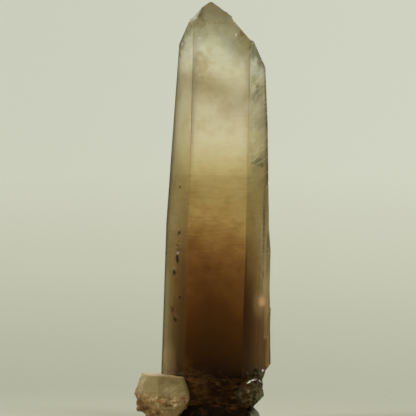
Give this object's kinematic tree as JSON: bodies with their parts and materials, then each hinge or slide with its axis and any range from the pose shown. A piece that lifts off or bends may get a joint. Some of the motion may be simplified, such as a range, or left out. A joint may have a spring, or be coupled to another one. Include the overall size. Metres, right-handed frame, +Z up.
{
  "type": "smoky quartz point",
  "caption": "Standing smoky quartz crystal with a six-sided tapering prism and natural point, grown with a blocky feldspar crystal on a flat-cut foot of dark rock.",
  "frame": {"origin": "on the flat base, where the quartz crystal's long axis meets it", "axes": "+Z up, nearly along the crystal; the crystal's front face looks towards -Y"},
  "size_m": [0.0326, 0.0237, 0.1001],
  "materials": {
    "smoky_quartz": "clear at the tip, smoky brown towards the foot, polished natural faces",
    "feldspar": "satin cleavage faces, rough iron-stained lower half",
    "dark_rock": "rough, iron-stained"
  },
  "bodies": {
    "root": {"quartz_point": "smoky_quartz", "feldspar_crystal": "feldspar", "dark_matrix": "dark_rock"}
  },
  "joints": []
}
